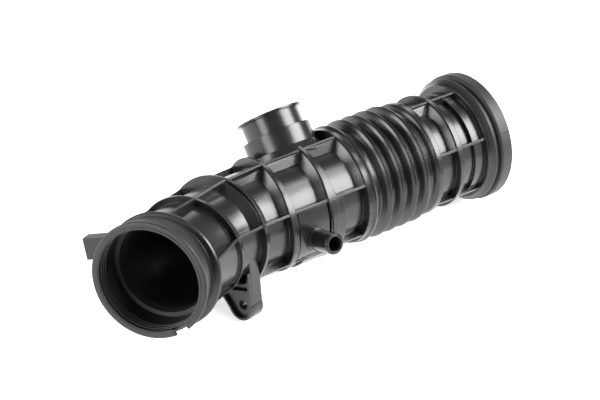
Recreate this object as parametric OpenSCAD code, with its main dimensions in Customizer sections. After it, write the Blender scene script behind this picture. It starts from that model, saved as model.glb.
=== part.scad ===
// Air intake hose for a car engine: one moulded rubber tube with a bend,
// a bellows, rings and long ribs round it, a branch port on top, a small
// vent nipple at the side, a bolt lug and a locating block.
// Millimetres. The straight rear half lies along X, the mouth end bends
// away from it, and the hose rests on the floor as it lies when put down.

/* [Tube] */
// Outer radius of the bellows crests
crest_r = 42; // [36:0.5:50]
// How deep the bellows folds are
fold_depth = 6; // [3:0.5:8]
// Distance from one bellows crest to the next
fold_pitch = 10.6; // [9:0.1:12]
// Wall thickness of the tube
wall = 3; // [2:0.25:4]

/* [Bend] */
// Radius of the bend in the middle of the tube
bend_r = 171.5; // [130:0.5:240]
// Angle of the bend
bend_angle = 33; // [20:1:45]

/* [Mouth] */
// Outer radius of the mouth lip
lip_r = 38.2; // [36.5:0.1:42]
// Radius of the mouth bore that slips over its spigot
mouth_bore_r = 33.2; // [30:0.1:33.4]
// How deep the mouth bore is
mouth_depth = 23; // [20:0.5:26]

/* [Rear collar] */
// Outer radius of the rear collar
collar_r = 46; // [44:0.1:50]
// Radius of the bore in the rear collar
collar_bore_r = 39.5; // [37:0.1:40]
// Length of the rear collar
collar_len = 19; // [16:0.5:26]

/* [Ribs] */
// Height of the rings and long ribs over the tube
rib_h = 8; // [5:0.5:10]
// Thickness of a long rib
rib_t = 1.8; // [1.2:0.1:3]
// Angle from one long rib to the next
rib_step = 61; // [58:1:62]
// Angle of the mould's parting line above the side of the tube
parting_angle = 9; // [4:1:14]

/* [Branch port] */
// Outer radius of the port's rim
port_rim_r = 22.7; // [21:0.1:26]
// Radius of the port's bore
port_bore_r = 17.6; // [15:0.1:18.5]
// Height of the port's rim over the tube's axis
port_height = 60.7; // [56:0.1:70]

/* [Nipple] */
// Outer radius of the vent nipple
nipple_r = 7; // [6.2:0.1:7.6]
// Radius of the hole in the vent nipple
nipple_bore_r = 4.8; // [3:0.1:5]
// How far the nipple's end stands from the tube's axis
nipple_reach = 57; // [52:0.5:64]

/* [Bolt lug] */
// Radius of the bolt hole in the lug
lug_hole_r = 3.4; // [2.6:0.1:4.2]
// Thickness of the lug
lug_t = 8.5; // [7:0.5:12]

/* [Locating block] */
// Thickness of the block along the mouth's axis
block_t = 8.2; // [6:0.1:9]
// How far the block reaches out sideways
block_reach = 21.6; // [18:0.1:26]
// Height of the block
block_h = 14; // [10:0.5:18]

/* [Hidden] */
$fn = 96;
rubber = [0.055, 0.055, 0.06];

// Stations along the tube's axis, from the collar side to the mouth
s_bend = -63.4;
s_r1 = -126.3;
s_r2 = -99.5;
s_r3 = -63;
s_r4 = -32;
s_first_crest = 13.1;
fold_run_out = 13.2;
s_r6 = s_first_crest + 3 * fold_pitch + fold_run_out;
s_r7 = s_r6 + 18;
s_step = s_r6 + 31.5;
s_r8 = s_r6 + 40;
s_end = s_r8 + collar_len;
port_x = -29.8;
port_lean = -22;
port_foot = 8;
s_lug = -108;
lug_end_r = 10.3;
lug_end = [16.2, -45.2];
block_at = [-9.4, 22, 13];
nipple_x = -47.7;
nipple_z = -16.6;
nipple_root = 26;
nipple_chamfer = 0.8;

// The mouth and the two rings next to it are turned further than the axis,
// and the rings nod a little
mouth_turn = 3;
turn_r1 = 9.6;
nod_r1 = -5.3;
turn_r2 = 9.6;
nod_r2 = 3.3;
mouth_rib_swing = 7;

// How much shallower the panels under the parting line are
low_rise = 2;

// How the hose lies on the floor: rolled on its back a little and tipped
rest_roll = -32.093;
rest_tip = -2.156;
rest_x = 37.73;
rest_y = 1.53;
rest_z = 41.87;
bend_len = bend_r * bend_angle * PI / 180;
s_mouth = s_bend - bend_len;

// Tube radii under the ribs
r_mid = crest_r - 9.6;
r_rear = crest_r - 8.4;
r_cuff = crest_r - 5.3;
r_tip = crest_r - 1.6;
r_tip3 = r_mid + rib_h - 0.9;
r_tip2 = r_mid + rib_h - 1.3;
r_tip1 = r_mid + rib_h - 3.8;
r_bend = r_mid - 0.4;
r_pm = mouth_bore_r + 1.6;

// Foot of the step up to the collar, round the tube and the collar's bore
r_step = max(r_tip + 0.6, collar_bore_r + 1.5);

// The tube's axis: position and heading at a station
function turn(s) = s >= s_bend ? 0 : min((s_bend - s) / bend_r * 180 / PI, bend_angle);
function past(s) = max(0, s_mouth - s);
function px(s) = s >= s_bend ? s : s_bend - bend_r * sin(turn(s)) - past(s) * cos(turn(s));
function py(s) = s >= s_bend ? 0 : -bend_r * (1 - cos(turn(s))) - past(s) * sin(turn(s));

// Children drawn along X are placed on the tube's axis at a station
module at_station(s) {
  translate([px(s), py(s), 0])
    rotate([0, 0, turn(s)])
      children();
}

// A profile of [station, radius] points is turned about the X axis
module turned(points) {
  rotate([0, 90, 0])
    rotate_extrude()
      polygon([for (p = points) [p[1], p[0]]]);
}

// A bent length of tube between two headings
module bent_tube(a0, a1, r) {
  translate([s_bend, -bend_r, 0])
    rotate([0, 0, 90 + a0])
      rotate_extrude(angle = a1 - a0)
        translate([bend_r, 0])
          circle(r = r);
}

// Children drawn along X are placed at the mouth end of the bend
module at_mouth() {
  translate([px(s_mouth), py(s_mouth), 0])
    rotate([0, 0, bend_angle + mouth_turn])
      children();
}

// A ring that a long rib meets: station, radius, heading and nod
function ring_at(s, r, more = 0, nod = 0) = [s, r, turn(s) + more, nod];

// How far a rib's end leans to meet a ring whose heading differs from the rib's
function lean(angle, off, nod) = cos(angle) * tan(off) + sin(angle) * tan(nod) / cos(off);

// A long rib of one bay, standing at an angle round the tube
module bay_rib(angle, from, to, swing = 0) {
  dx = px(to[0]) - px(from[0]);
  dy = py(to[0]) - py(from[0]);
  len = sqrt(dx * dx + dy * dy);
  heading = atan2(dy, dx);
  ka = lean(angle, from[2] - heading, from[3]);
  kb = lean(angle, to[2] - heading, to[3]);
  ra = from[1] / sqrt(1 + ka * ka);
  rb = to[1] / sqrt(1 + kb * kb);
  translate([px(from[0]), py(from[0]), 0])
    rotate([0, 0, heading])
      rotate([180 - angle, 0, 0])
        translate([len, 0, 0])
          rotate([0, swing, 0])
            translate([-len, 0, -rib_t / 2])
              linear_extrude(rib_t)
                polygon([
                  [ka * 24 - 0.4, 24],
                  [len + kb * 24 + 0.4, 24],
                  [len + kb * rb + 0.4, rb],
                  [ka * ra - 0.4, ra]
                ]);
}

// The ring ribs are thin at the crown and thicker at the parting line,
// as a mould in two halves leaves them
module half_wedge(r, thin, thick) {
  translate([0, r + 2, 0])
    rotate([90, 0, 0])
      linear_extrude(2 * r + 4)
        polygon([[-thick / 2, 0], [thick / 2, 0], [thin / 2, r + 2], [-thin / 2, r + 2]]);
}

module ring_rib(s, r, thin, thick, nod = 0, more = 0) {
  at_station(s)
    rotate([0, nod, more])
      intersection() {
        translate([-thick, 0, 0])
          rotate([0, 90, 0])
            cylinder(h = 2 * thick, r = r);
        rotate([-parting_angle, 0, 0])
          union() {
            half_wedge(r, thin, thick);
            mirror([0, 0, 1])
              half_wedge(r, thin, thick);
          }
      }
}

// Part of a circle between two angles
module sector(r, a0, a1) {
  far = 2 * r;
  middle = (a0 + a1) / 2;
  intersection() {
    circle(r = r);
    polygon([
      [0, 0],
      [-far * cos(a0), far * sin(a0)],
      [-far * cos(middle), far * sin(middle)],
      [-far * cos(a1), far * sin(a1)]
    ]);
  }
}

// A raised band over part of the way round, straight or along the bend
module sector_band(x0, x1, r, a0, a1) {
  translate([x0, 0, 0])
    rotate([90, 0, 90])
      linear_extrude(x1 - x0)
        sector(r, a0, a1);
}

module bent_band(b0, b1, r, a0, a1) {
  translate([s_bend, -bend_r, 0])
    rotate([0, 0, 90 + b0])
      rotate_extrude(angle = b1 - b0)
        translate([bend_r, 0])
          sector(r, a0, a1);
}

// Outline of the bellows from its first valley to its last one
function fold(x, deep) = crest_r - deep / 2 + deep / 2 * cos((x - s_first_crest) / fold_pitch * 360);
fold_steps = 10;
fold_x0 = s_first_crest - fold_pitch / 2;
fold_points = [for (i = [0 : 4 * fold_steps])
  let (x = fold_x0 + i * fold_pitch / fold_steps) [x, fold(x, fold_depth)]];
fold_bore_points = [for (i = [0 : 4 * 6])
  let (x = fold_x0 + i * fold_pitch / 6) [x, fold(x, fold_depth) - wall]];

module straight_body() {
  turned(concat(
    [[s_bend, 0], [s_bend, r_mid], [-5.2, r_mid]],
    [[-4.6, r_tip - 0.4], [-1.4, r_tip], [-0.6, crest_r - 0.8], [0.6, crest_r - 0.3]],
    [[1.8, crest_r - 0.8], [3.6, crest_r - fold_depth + 0.6]],
    fold_points,
    [[s_r6 - 5.4, crest_r - fold_depth + 0.6], [s_r6 - 3.6, r_tip - 1.2]],
    [[s_r6 - 2.4, r_tip], [s_r6 + 1.2, r_tip + 0.2], [s_r6 + 1.8, r_rear]],
    [[s_step, r_rear], [s_step + 0.6, r_cuff], [s_r8, r_cuff], [s_r8 + 0.4, r_step]],
    [[s_r8 + 4.6, collar_r - 1.4], [s_r8 + 5.6, collar_r - 1.4], [s_r8 + 6.2, collar_bore_r + 3.2]],
    [[s_r8 + 8.6, collar_bore_r + 3.2], [s_r8 + 9.2, collar_r - 0.8], [s_r8 + 10.2, collar_r]],
    [[s_end - 1.4, collar_r], [s_end - 0.4, collar_r - 0.6], [s_end, collar_r - 1.6], [s_end, 0]]
  ));
}

module straight_bore() {
  turned(concat(
    [[s_bend, 0], [s_bend, r_mid - wall], [-4, r_mid - wall]],
    [[-2, crest_r - wall - 0.5], [1, crest_r - wall - 0.5], [3.6, crest_r - fold_depth - wall + 1]],
    fold_bore_points,
    [[s_r6 - 3, r_tip - wall - 1], [s_r6, r_tip - wall - 1], [s_r6 + 3, r_rear - wall]],
    [[s_step + 0.6, r_rear - wall], [s_step + 1.6, r_cuff - wall], [s_r8 + 0.6, r_cuff - wall]],
    [[s_r8 + 1.8, collar_bore_r], [s_end + 1, collar_bore_r], [s_end + 1, 0]]
  ));
}

// The mouth: flare, bead, clamp seat, ridge and lip, along the mouth's own axis
module mouth_body() {
  at_mouth()
    turned([
      [14, 0], [14, r_mid - 2.6], [3, mouth_bore_r + 1.6], [-0.6, mouth_bore_r + 2.3],
      [-12.4, mouth_bore_r + 2.3],
      [-13, mouth_bore_r + 3.4], [-14.4, mouth_bore_r + 3.4], [-15, mouth_bore_r + 2.2],
      [-15.8, mouth_bore_r + 2.2], [-16.2, lip_r - 0.4], [-17, lip_r], [-18, lip_r],
      [-18.7, lip_r - 0.5], [-19, lip_r - 1.4], [-19, 0]
    ]);
}

// The bead behind the clamp seat sits a little low and to the side
module mouth_bead() {
  at_mouth()
    translate([0, -1.4, -0.9])
      turned([
        [3.2, 0], [3.2, mouth_bore_r + 1], [2.6, lip_r - 1.2], [1.6, lip_r + 0.2], [0.2, lip_r + 0.4],
        [-1, lip_r - 0.4], [-1.8, mouth_bore_r + 1], [-1.8, 0]
      ]);
}

module mouth_bore() {
  at_mouth()
    turned([
      [14, 0], [14, r_mid - 2.6 - wall], [mouth_depth - 18.6, r_pm - wall - 1.2],
      [mouth_depth - 19, mouth_bore_r], [-20, mouth_bore_r], [-20, 0]
    ]);
}

// The lip is cut through at the lower right, where the hose is set in place
module lip_notch() {
  at_mouth()
    rotate([67, 0, 0])
      translate([-20, -45, -5])
        cube([4.6, 15, 10]);
}

module bend_body() {
  bent_tube(-1, bend_angle, r_bend);
}

module bend_bore() {
  bent_tube(-1, bend_angle, r_bend - wall);
}

module long_ribs() {
  mouth = [s_mouth, lip_r - 0.6, bend_angle + mouth_turn, 0];
  ring1 = ring_at(s_r1, r_tip1 - 0.2, turn_r1, nod_r1);
  ring2 = ring_at(s_r2, r_tip2 - 0.2, turn_r2, nod_r2);
  ring3 = ring_at(s_r3, r_tip3 - 0.2);
  bellows = ring_at(-3.4, r_tip - 0.8);
  ring6 = ring_at(s_r6, r_tip - 0.4);
  ring8 = ring_at(s_r8 + 1, r_tip - 0.4);
  for (a = [0, rib_step, 2 * rib_step, 180, -2 * rib_step, -rib_step]) {
    angle = parting_angle + a;
    bay_rib(angle, mouth, ring1, a == 0 ? mouth_rib_swing : 0);
    bay_rib(angle, ring1, ring2);
    bay_rib(angle, ring2, ring3);
    bay_rib(angle, ring3, bellows);
    bay_rib(angle, ring6, ring8);
  }
}

module ring_ribs() {
  ring_rib(s_r1, r_tip1, 1.6, 3.2, nod_r1, turn_r1);
  ring_rib(s_r2, r_tip2, 1.6, 4, nod_r2, turn_r2);
  ring_rib(s_r3, r_tip3, 1.6, 5);
  ring_rib(s_r4, r_tip, 1.6, 6.4);
  ring_rib(s_r7, r_tip + 0.2, 2.2, 4.6);
}

// Under the parting line the panels between the ribs lie less deep
module low_panels() {
  low = parting_angle - rib_step;
  bent_band(-1, turn(s_mouth + 8), r_bend + low_rise, low, parting_angle);
  sector_band(s_bend, s_r3 + 3, r_mid + low_rise, low, parting_angle);
  sector_band(s_r4, -4.8, r_mid + low_rise, low, parting_angle);
  sector_band(s_r6, s_step, r_rear + low_rise, low, parting_angle);
  sector_band(s_step, s_r8, r_cuff + 1, low, parting_angle);
}

// The raised pad under the parting line that carries the nipple, with the
// two broad bands beside it
module side_pad() {
  low = parting_angle - rib_step;
  sector_band(s_r3 + 3.6, s_r4 - 4.4, r_tip - 1.6, low, parting_angle);
  sector_band(s_r4 - 3.4, s_r4 + 8.4, r_tip - 0.8, low, parting_angle + 1);
  sector_band(s_r3 - 2, s_r3 + 2.6, r_tip - 1.2, low, parting_angle + 1);
  sector_band(s_r3 - 2, s_r3 + 4.6, r_tip - 1.2, low - 34, low);
  sector_band(s_r3 + 9, s_r4 + 8.4, r_tip - 0.3, low - 34, low);
}

module branch_port() {
  translate([port_x, 0, 0])
    rotate([port_lean, 0, 0]) {
      translate([0, 0, port_foot])
        cylinder(h = port_height - 1 - port_foot, r = port_rim_r - 2.4);
      translate([0, 0, port_height - 1.6])
        cylinder(h = 1.6, r = port_rim_r);
      translate([0, 0, port_foot])
        cylinder(h = port_height - 13.4 - port_foot, r = port_rim_r + 1.1);
      translate([0, 0, 26])
        cylinder(h = 9, r1 = port_rim_r + 5, r2 = port_rim_r + 1);
    }
}

module port_bore() {
  translate([port_x, 0, 0])
    rotate([port_lean, 0, 0]) {
      translate([0, 0, 12])
        cylinder(h = port_height, r = port_bore_r);
      translate([0, 0, 12])
        cylinder(h = port_height - 13.4 - 12 - wall, r = port_rim_r + 1.1 - wall);
    }
}

module vent_nipple() {
  translate([nipple_x, 0, nipple_z])
    rotate([90, 0, 0]) {
      translate([0, 0, nipple_root])
        cylinder(h = nipple_reach - nipple_chamfer - nipple_root, r = nipple_r);
      translate([0, 0, nipple_reach - nipple_chamfer])
        cylinder(h = nipple_chamfer, r1 = nipple_r, r2 = nipple_r - nipple_chamfer);
      translate([0, 0, nipple_root])
        cylinder(h = 13, r1 = nipple_r + 1.8, r2 = nipple_r + 0.5);
    }
}

module nipple_bore() {
  translate([nipple_x, 0, nipple_z])
    rotate([90, 0, 0])
      translate([0, 0, 10])
        cylinder(h = nipple_reach, r = nipple_bore_r);
}

// The lug hangs from the lower side of the tube, square to its axis
module bolt_lug() {
  at_station(s_lug)
    rotate([90, 0, -90])
      translate([0, 0, -lug_t])
        difference() {
          linear_extrude(lug_t)
            union() {
              polygon([
                lug_end + [-9.9, -2.4], [-5, -27], [-6, -12],
                [20, -12], [31.6, -8.5], lug_end + [10.2, 1.2]
              ]);
              translate(lug_end)
                circle(r = lug_end_r);
            }
          translate([0, 0, lug_t - 2.5])
            linear_extrude(4)
              polygon([[7, -35], [12, -10], [28.6, -9], [25.2, -35]]);
          translate([lug_end[0] - 0.6, lug_end[1] - lug_end_r - 0.1, -1])
            cylinder(h = lug_t + 2, r = 1.6);
        }
}

module lug_hole() {
  at_station(s_lug)
    translate([-lug_t / 2, -lug_end[0] - 0.8, lug_end[1] + 0.2])
      rotate([0, 90, 0])
        cylinder(h = 2 * lug_t, r = lug_hole_r);
}

// The block beside the mouth that keeps the hose from turning
module locating_block() {
  at_mouth()
    translate(block_at)
      cube([block_t, block_reach, block_h]);
}

module intake_hose() {
  color(rubber)
    laid_down()
      difference() {
        union() {
          straight_body();
          bend_body();
          mouth_body();
          mouth_bead();
          long_ribs();
          ring_ribs();
          low_panels();
          side_pad();
          branch_port();
          vent_nipple();
          bolt_lug();
          locating_block();
        }
        straight_bore();
        bend_bore();
        mouth_bore();
        lip_notch();
        port_bore();
        nipple_bore();
        lug_hole();
      }
}

module laid_down() {
  translate([rest_x, rest_y, rest_z])
    rotate([rest_roll, rest_tip, 0])
      children();
}

intake_hose();
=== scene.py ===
"""Air intake hose of black moulded rubber on a pale floor, seen as in the photo."""

import math

import bmesh
import bpy
from mathutils import Matrix, Vector


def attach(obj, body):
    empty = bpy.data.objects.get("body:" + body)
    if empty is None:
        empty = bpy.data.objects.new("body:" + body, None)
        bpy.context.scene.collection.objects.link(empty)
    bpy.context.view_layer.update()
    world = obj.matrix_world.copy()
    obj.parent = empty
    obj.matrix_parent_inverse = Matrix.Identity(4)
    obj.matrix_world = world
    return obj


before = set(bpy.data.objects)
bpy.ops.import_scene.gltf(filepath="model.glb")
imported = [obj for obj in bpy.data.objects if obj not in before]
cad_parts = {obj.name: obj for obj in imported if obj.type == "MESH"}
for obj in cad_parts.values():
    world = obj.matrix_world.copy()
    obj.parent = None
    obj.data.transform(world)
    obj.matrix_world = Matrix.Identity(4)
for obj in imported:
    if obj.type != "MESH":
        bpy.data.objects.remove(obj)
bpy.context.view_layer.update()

scene = bpy.context.scene
NODE = "intake_hose"

# How part.scad lays the hose down: a roll, a tip and a shift in millimetres.
REST_ROLL = -32.093
REST_TIP = -2.156
REST_SHIFT = (37.73, 1.53, 41.87)

# The photo's camera in the tube's own frame: X along the straight half, Y away from
# the bend's side, Z up through the crown. Millimetres; the columns are right, up, back.
CAMERA_AT = (-559.81, -877.74, 305.72)
CAMERA_AXES = (
    (0.81065, 0.31513, -0.49349),
    (-0.55358, 0.13789, -0.8213),
    (-0.19077, 0.93898, 0.28623),
)
# The clip range and the length of one millimetre are in metres.
LENS_MM = 96.0
SENSOR_MM = 36.0
CAMERA_CLIP = (0.01, 50)
MM = 0.001

# The tube as part.scad has it: where the bend starts, its radius and angle, the extra
# turn of the mouth and the parting line's angle. Millimetres and degrees. Stations run
# along the tube's axis, and the mouth's own stations start from the bend's end.
BEND_START = -63.4
BEND_R = 171.5
BEND_ANGLE = 33
BEND_END = BEND_START - BEND_R * math.radians(BEND_ANGLE)
MOUTH_TURN = 3
PARTING_ANGLE = 9

# Fine rings in the mouth: station on the mouth's axis, radius of the ring and of its
# bead. The steps are those round a ring and round its bead.
SEAL_RIDGES = ((-15.2, 33.3, 0.55), (-12.4, 33.3, 0.55), (-9.6, 33.3, 0.55))
LIP_BEAD = (-18.9, 34.4, 0.5)
RING_STEPS = 180
BEAD_STEPS = 10

# The parting line: its radius and sides, how far into the bend it runs, how far its runs
# may face inwards, and the shortest run that is kept.
FLASH_R = 0.28
FLASH_SIDES = 6
FLASH_INTO_BEND = 6
FLASH_FACING = -0.02
FLASH_SHORTEST = 0.02

# The bolt lug as part.scad has it, and the rim that is added on its front: its path
# before, round and after the lug's end, its width and height, how deep it is sunk, and
# the share of the width that its sides lean in. The arc is a start, a sweep and steps.
LUG_STATION = -108
LUG_END = Vector((16.2, -45.2))
LUG_END_R = 10.2
LUG_RIM_BEFORE = ((-3.6, -29.5), (1.4, -38.7))
LUG_RIM_ARC = (192, 172, 32)
LUG_RIM_AFTER = ((28, -33), (29.6, -22))
LUG_RIM_W = 2.2
LUG_RIM_H = 2.4
LUG_RIM_SUNK = 0.4
LUG_RIM_LEAN = 0.12

# Sloped borders of the upper bays, from the parting line to the long rib RIB_STEP above
# it. Rings: station, tip and tube radius, thickness at the crown and at the parting line,
# and extra turn. Ribs: from, to, tip and tube radius.
RIB_STEP = 61
RING_SLOPES = (
    (-99.5, 39.1, 32, 1.6, 4, 9.6),
    (-63, 39.5, 32.2, 1.6, 5, 0),
    (-32, 40.4, 32.4, 1.6, 6.4, 0),
    (-4.4, 40, 32.4, 1, 1, 0),
    (76.1, 40.6, 33.6, 2.2, 4.6, 0),
)
RIB_SLOPES = (
    (-99, -64, 39, 32),
    (-62, -33, 39.5, 32.4),
    (-31, -5, 40, 32.4),
    (60, 75, 40, 33.6),
)
# Each slope starts under the rib's tip and ends sunk in the tube. A ring's slope runs out
# along the axis and is let into the ring; a rib's slope spans an angle, in degrees.
SLOPE_UNDER_TIP = 1.2
SLOPE_SUNK = 0.4
RING_SLOPE_RUN = 4.4
RING_SLOPE_LET_IN = 0.3
RING_SLOPE_STEPS = 24
RIB_SLOPE_SPAN = 7.5
RIB_SLOPE_LET_IN = 1
RIB_SLOPE_STEPS = 8

# The rubber: the part of the patches' noise that counts and the roughness at its two
# ends, the scale and detail of the patches and of the grain, the strength of the grain's
# bump and its depth in metres, and the radius in metres that softens sharp edges.
RUBBER_COLOR = (0.010, 0.010, 0.011, 1)
RUBBER_SPECULAR = 0.5
ROUGH_FROM = (0.3, 0.7)
ROUGH_TO = (0.22, 0.28)
PATCH_SCALE = 45
PATCH_DETAIL = 4
GRAIN_SCALE = 900
GRAIN_DETAIL = 3
GRAIN_STRENGTH = 0.12
GRAIN_DEPTH = 0.0004
EDGE_RADIUS = 0.0006
EDGE_SAMPLES = 6
# The clamp seats at both ends are duller: where along X each starts and is full, in
# metres, and how much rougher it is.
MATT_ENDS = ((0.136, 0.14), (-0.104, -0.112))
MATT_MORE = 0.26

# The floor: its colour, the glow that lifts it to white where it is lit, and half its
# width in metres. The world's light is the same from all sides.
WHITE = (1, 1, 1, 1)
FLOOR_COLOR = (0.9, 0.9, 0.9, 1)
FLOOR_GLOW = 0.62
FLOOR_HALF = 4.0
WORLD_LEVEL = 0.22

# Softboxes round the hose: azimuth and elevation in degrees, distance, width and height
# in metres, and power in watts. They face a point above the hose's middle.
SOFTBOXES = {
    "key": (-38, 44, 1.5, 1.1, 0.8, 50),
    "top": (-8, 66, 1.5, 0.36, 0.34, 4.5),
    "low": (-42, 9, 1.7, 1.8, 0.5, 3),
    "side": (-168, 18, 1.7, 0.8, 0.7, 16),
    "back": (150, 15, 1.8, 0.95, 0.8, 24),
    "far": (60, 30, 1.8, 0.95, 0.6, 7),
}
SOFTBOX_AIM = Vector((0, 0, 0.05))


def tube_to_row():
    """The matrix from the tube's own frame in millimetres to the row frame in metres."""
    roll = Matrix.Rotation(math.radians(REST_ROLL), 4, "X")
    tip = Matrix.Rotation(math.radians(REST_TIP), 4, "Y")
    return Matrix.Scale(MM, 4) @ Matrix.Translation(REST_SHIFT) @ tip @ roll


def axis_at(station, more=0.0):
    """The matrix at a station of the tube's axis, with X along it, to the row frame."""
    turn = min(max((BEND_START - station) / BEND_R, 0), math.radians(BEND_ANGLE))
    at = (BEND_START - BEND_R * math.sin(turn), -BEND_R * (1 - math.cos(turn)), 0)
    if station > BEND_START:
        at = (station, 0, 0)
    spin = Matrix.Rotation(turn + math.radians(more), 4, "Z")
    return tube_to_row() @ Matrix.Translation(at) @ spin


def round_point(x, angle, radius):
    """A point at an angle round the tube, from its side towards its crown."""
    turn = math.radians(angle)
    return Vector((x, -radius * math.cos(turn), radius * math.sin(turn)))


def node_material(name):
    """A new material with an empty node tree, and that tree."""
    material = bpy.data.materials.new(name)
    material.use_nodes = True
    material.node_tree.nodes.clear()
    return material, material.node_tree


def add_node(tree, kind, values=None):
    """A new node of the tree, with the given values on its own sockets."""
    node = tree.nodes.new(kind)
    for socket, value in (values or {}).items():
        node.inputs[socket].default_value = value
    return node


def add_math(tree, operation, first, second):
    """A math node of the tree that joins two outputs."""
    node = add_node(tree, "ShaderNodeMath")
    node.operation = operation
    tree.links.new(first, node.inputs[0])
    tree.links.new(second, node.inputs[1])
    return node.outputs["Value"]


def rubber_material():
    """Black rubber with a fine grain, softened edges and duller clamp seats."""
    material, tree = node_material("rubber")
    links = tree.links
    shader = add_node(tree, "ShaderNodeBsdfPrincipled", {
        "Base Color": RUBBER_COLOR,
        "Specular IOR Level": RUBBER_SPECULAR,
    })
    output = add_node(tree, "ShaderNodeOutputMaterial")
    place = add_node(tree, "ShaderNodeTexCoord").outputs["Object"]

    patches = add_node(tree, "ShaderNodeTexNoise", {
        "Scale": PATCH_SCALE,
        "Detail": PATCH_DETAIL,
    })
    rough = add_node(tree, "ShaderNodeMapRange", {
        "From Min": ROUGH_FROM[0],
        "From Max": ROUGH_FROM[1],
        "To Min": ROUGH_TO[0],
        "To Max": ROUGH_TO[1],
    })
    links.new(place, patches.inputs["Vector"])
    links.new(patches.outputs["Fac"], rough.inputs["Value"])

    split = add_node(tree, "ShaderNodeSeparateXYZ")
    links.new(place, split.inputs["Vector"])
    ends = []
    for start, full in MATT_ENDS:
        ramp = add_node(tree, "ShaderNodeMapRange", {
            "From Min": start,
            "From Max": full,
            "To Max": MATT_MORE,
        })
        links.new(split.outputs["X"], ramp.inputs["Value"])
        ends.append(ramp.outputs["Result"])
    matt = add_math(tree, "MAXIMUM", *ends)
    total = add_math(tree, "ADD", rough.outputs["Result"], matt)
    links.new(total, shader.inputs["Roughness"])

    grain = add_node(tree, "ShaderNodeTexNoise", {
        "Scale": GRAIN_SCALE,
        "Detail": GRAIN_DETAIL,
    })
    bump = add_node(tree, "ShaderNodeBump", {
        "Strength": GRAIN_STRENGTH,
        "Distance": GRAIN_DEPTH,
    })
    edge = add_node(tree, "ShaderNodeBevel", {"Radius": EDGE_RADIUS})
    edge.samples = EDGE_SAMPLES
    links.new(place, grain.inputs["Vector"])
    links.new(grain.outputs["Fac"], bump.inputs["Height"])
    links.new(edge.outputs["Normal"], bump.inputs["Normal"])
    links.new(bump.outputs["Normal"], shader.inputs["Normal"])
    links.new(shader.outputs["BSDF"], output.inputs["Surface"])
    return material


def floor_material():
    """A pale floor that takes the hose's shadow, and where it is lit looks pure white."""
    material, tree = node_material("pale_floor")
    links = tree.links
    shader = add_node(tree, "ShaderNodeBsdfDiffuse", {"Color": FLOOR_COLOR})
    glow = add_node(tree, "ShaderNodeEmission", {"Color": WHITE, "Strength": FLOOR_GLOW})
    path = add_node(tree, "ShaderNodeLightPath")
    both = add_node(tree, "ShaderNodeAddShader")
    seen = add_node(tree, "ShaderNodeMixShader")
    output = add_node(tree, "ShaderNodeOutputMaterial")
    sight = add_math(
        tree, "MAXIMUM", path.outputs["Is Camera Ray"], path.outputs["Is Glossy Ray"],
    )
    links.new(shader.outputs["BSDF"], both.inputs[0])
    links.new(glow.outputs["Emission"], both.inputs[1])
    links.new(sight, seen.inputs["Fac"])
    links.new(shader.outputs["BSDF"], seen.inputs[1])
    links.new(both.outputs["Shader"], seen.inputs[2])
    links.new(seen.outputs["Shader"], output.inputs["Surface"])
    return material


def loft(shape, rows, closed=False):
    """A skin over rows of points, each row a loop, with end faces or closed as a ring."""
    rows = [[shape.verts.new(point) for point in row] for row in rows]
    pairs = list(zip(rows, rows[1:]))
    if closed:
        pairs.append((rows[-1], rows[0]))
    for here, there in pairs:
        for j in range(len(here)):
            k = (j + 1) % len(here)
            shape.faces.new((here[j], there[j], there[k], here[k]))
    if not closed:
        shape.faces.new(rows[0])
        shape.faces.new(rows[-1])


def add_piece(name, shape, material, smooth=False):
    """The shape as a piece of its own, which rides on the frame and is rubber."""
    mesh = bpy.data.meshes.new(name)
    shape.to_mesh(mesh)
    shape.free()
    if smooth:
        mesh.polygons.foreach_set("use_smooth", [True] * len(mesh.polygons))
    mesh.materials.append(material)
    piece = bpy.data.objects.new(name, mesh)
    scene.collection.objects.link(piece)
    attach(piece, "root")


def add_rings(name, rings, material):
    """Round beads on the mouth's axis, each a closed ring, as one piece."""
    place = axis_at(BEND_END, MOUTH_TURN)
    shape = bmesh.new()
    for station, radius, bead in rings:
        rows = []
        for i in range(RING_STEPS):
            turn = 2 * math.pi * i / RING_STEPS
            row = []
            for j in range(BEAD_STEPS):
                tilt = 2 * math.pi * j / BEAD_STEPS
                along = station + bead * math.sin(tilt)
                reach = radius + bead * math.cos(tilt)
                point = (along, reach * math.cos(turn), reach * math.sin(turn))
                row.append(place @ Vector(point))
            rows.append(row)
        loft(shape, rows, closed=True)
    bmesh.ops.recalc_face_normals(shape, faces=shape.faces)
    add_piece(name, shape, material, smooth=True)


def add_parting_line(source, material):
    """The raised line that the mould's halves leave along both sides of the tube."""
    place = tube_to_row()
    tilt = math.radians(PARTING_ANGLE)
    side = Vector((0, -math.cos(tilt), math.sin(tilt)))
    across = Vector((1, 0, 0)).cross(side)
    cut = bmesh.new()
    cut.from_mesh(source.data)
    cut.transform(place.inverted())
    far = [v for v in cut.verts if v.co.x < BEND_START - FLASH_INTO_BEND]
    bmesh.ops.delete(cut, geom=far, context="VERTS")
    whole = cut.verts[:] + cut.edges[:] + cut.faces[:]
    found = bmesh.ops.bisect_plane(cut, geom=whole, plane_co=(0, 0, 0), plane_no=across)
    runs = []
    for edge in found["geom_cut"]:
        if not isinstance(edge, bmesh.types.BMEdge) or not edge.link_faces:
            continue
        start, end = (vert.co.copy() for vert in edge.verts)
        out = side if (start + end).dot(side) > 0 else -side
        facing = sum(face.normal.dot(out) for face in edge.link_faces)
        if facing > FLASH_FACING and (end - start).length >= FLASH_SHORTEST:
            runs.append((start, end))
    cut.free()
    shape = bmesh.new()
    for start, end in runs:
        along = end - start
        turn = along.to_track_quat("Z", "Y").to_matrix().to_4x4()
        bmesh.ops.create_cone(
            shape, cap_ends=True, segments=FLASH_SIDES, radius1=FLASH_R, radius2=FLASH_R,
            depth=along.length + FLASH_R,
            matrix=place @ Matrix.Translation((start + end) / 2) @ turn,
        )
    add_piece("parting_line", shape, material)


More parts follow.
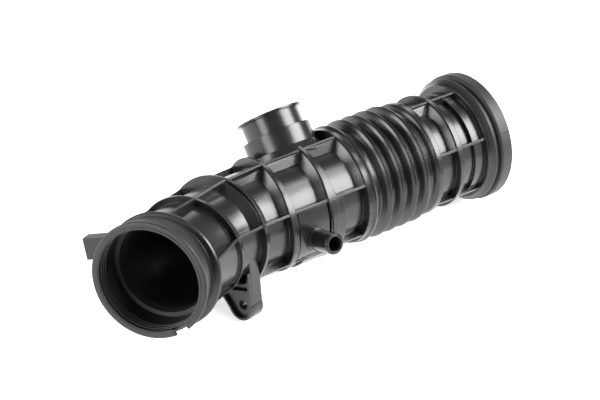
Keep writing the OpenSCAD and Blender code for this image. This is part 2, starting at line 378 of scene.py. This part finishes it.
def add_lug_rim(material):
    """The raised rim round the bolt lug's lower end, on the side of its recess."""
    place = axis_at(LUG_STATION)
    start, sweep, steps = LUG_RIM_ARC
    path = [Vector(point) for point in LUG_RIM_BEFORE]
    for i in range(steps + 1):
        angle = math.radians(start + sweep * i / steps)
        path.append(LUG_END + Vector((math.cos(angle), math.sin(angle))) * LUG_END_R)
    path += [Vector(point) for point in LUG_RIM_AFTER]
    rows = []
    for i, outer in enumerate(path):
        along = (path[min(i + 1, len(path) - 1)] - path[max(i - 1, 0)]).normalized()
        inward = Vector((-along.y, along.x)) * LUG_RIM_W
        inner = outer + inward
        lean = inward * LUG_RIM_LEAN
        corners = (
            (LUG_RIM_SUNK, outer),
            (-LUG_RIM_H, outer + lean),
            (-LUG_RIM_H, inner - lean),
            (LUG_RIM_SUNK, inner),
        )
        rows.append([place @ Vector((x, -point.x, point.y)) for x, point in corners])
    shape = bmesh.new()
    loft(shape, rows)
    bmesh.ops.recalc_face_normals(shape, faces=shape.faces)
    add_piece("lug_rim", shape, material)


def add_bay_slopes(material):
    """The upper bays' sloped borders, on each ring's front and along the long rib."""
    shape = bmesh.new()
    low, high = PARTING_ANGLE, PARTING_ANGLE + RIB_STEP
    for station, tip, tube, thin, thick, more in RING_SLOPES:
        place = axis_at(station, more)
        top, foot = tip - SLOPE_UNDER_TIP, tube - SLOPE_SUNK
        rows = []
        for i in range(RING_SLOPE_STEPS + 1):
            angle = low + (high - low) * i / RING_SLOPE_STEPS
            taper = (thick - thin) / 2 * math.sin(math.radians(angle - low))
            half = thick / 2 - taper
            rows.append([
                place @ round_point(RING_SLOPE_LET_IN - half, angle, top),
                place @ round_point(-half - RING_SLOPE_RUN, angle, foot),
                place @ round_point(0, angle, foot),
            ])
        loft(shape, rows)
    for start, end, tip, tube in RIB_SLOPES:
        top, foot = tip - SLOPE_UNDER_TIP, tube - SLOPE_SUNK
        rows = []
        for i in range(RIB_SLOPE_STEPS + 1):
            place = axis_at(start + (end - start) * i / RIB_SLOPE_STEPS)
            rows.append([
                place @ round_point(0, high - RIB_SLOPE_LET_IN, top),
                place @ round_point(0, high - RIB_SLOPE_SPAN, foot),
                place @ round_point(0, high, foot),
            ])
        loft(shape, rows)
    bmesh.ops.recalc_face_normals(shape, faces=shape.faces)
    add_piece("bay_slopes", shape, material)


def add_floor():
    """The floor, as the stage that the hose lies on."""
    half = FLOOR_HALF
    corners = [(-half, -half, 0), (half, -half, 0), (half, half, 0), (-half, half, 0)]
    mesh = bpy.data.meshes.new("floor")
    mesh.from_pydata(corners, [], [(0, 1, 2, 3)])
    mesh.materials.append(floor_material())
    floor = bpy.data.objects.new("floor", mesh)
    scene.collection.objects.link(floor)


def add_softbox(name, azimuth, elevation, distance, width, height, power):
    """A rectangular area lamp round the hose, facing the aim point."""
    light = bpy.data.lights.new(name, "AREA")
    light.shape = "RECTANGLE"
    light.size, light.size_y = width, height
    light.energy = power
    lamp = bpy.data.objects.new(name, light)
    scene.collection.objects.link(lamp)
    around, up = math.radians(azimuth), math.radians(elevation)
    level = math.cos(up)
    way = Vector((level * math.cos(around), level * math.sin(around), math.sin(up)))
    lamp.location = SOFTBOX_AIM + way * distance
    lamp.rotation_euler = (-way).to_track_quat("-Z", "Y").to_euler()


def add_camera():
    """The camera at the place that was solved from the photo."""
    data = bpy.data.cameras.new("camera")
    data.lens = LENS_MM
    data.sensor_width = SENSOR_MM
    data.clip_start, data.clip_end = CAMERA_CLIP
    camera = bpy.data.objects.new("camera", data)
    scene.collection.objects.link(camera)
    turn = Matrix(CAMERA_AXES).to_4x4()
    place = tube_to_row() @ Matrix.Translation(CAMERA_AT) @ turn
    camera.matrix_world = Matrix.LocRotScale(
        place.to_translation(), place.to_quaternion(), None,
    )
    scene.camera = camera


def set_world():
    """A dim even light from all sides, white where the camera sees it."""
    world = bpy.data.worlds.new("world")
    scene.world = world
    world.use_nodes = True
    tree = world.node_tree
    back = tree.nodes["Background"]
    back.inputs["Color"].default_value = WHITE
    back.inputs["Strength"].default_value = WORLD_LEVEL
    seen = add_node(tree, "ShaderNodeBackground", {"Color": WHITE, "Strength": 1})
    path = add_node(tree, "ShaderNodeLightPath")
    mix = add_node(tree, "ShaderNodeMixShader")
    links = tree.links
    links.new(path.outputs["Is Camera Ray"], mix.inputs["Fac"])
    links.new(back.outputs["Background"], mix.inputs[1])
    links.new(seen.outputs["Background"], mix.inputs[2])
    links.new(mix.outputs["Shader"], tree.nodes["World Output"].inputs["Surface"])


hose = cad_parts[NODE]
hose.data.materials.clear()
rubber = rubber_material()
hose.data.materials.append(rubber)
add_rings("seal_ridges", SEAL_RIDGES, rubber)
add_rings("lip_bead", (LIP_BEAD,), rubber)
add_parting_line(hose, rubber)
add_lug_rim(rubber)
add_bay_slopes(rubber)

add_floor()
for box_name, place in SOFTBOXES.items():
    add_softbox(box_name, *place)
add_camera()
set_world()
scene.view_settings.view_transform = "Standard"
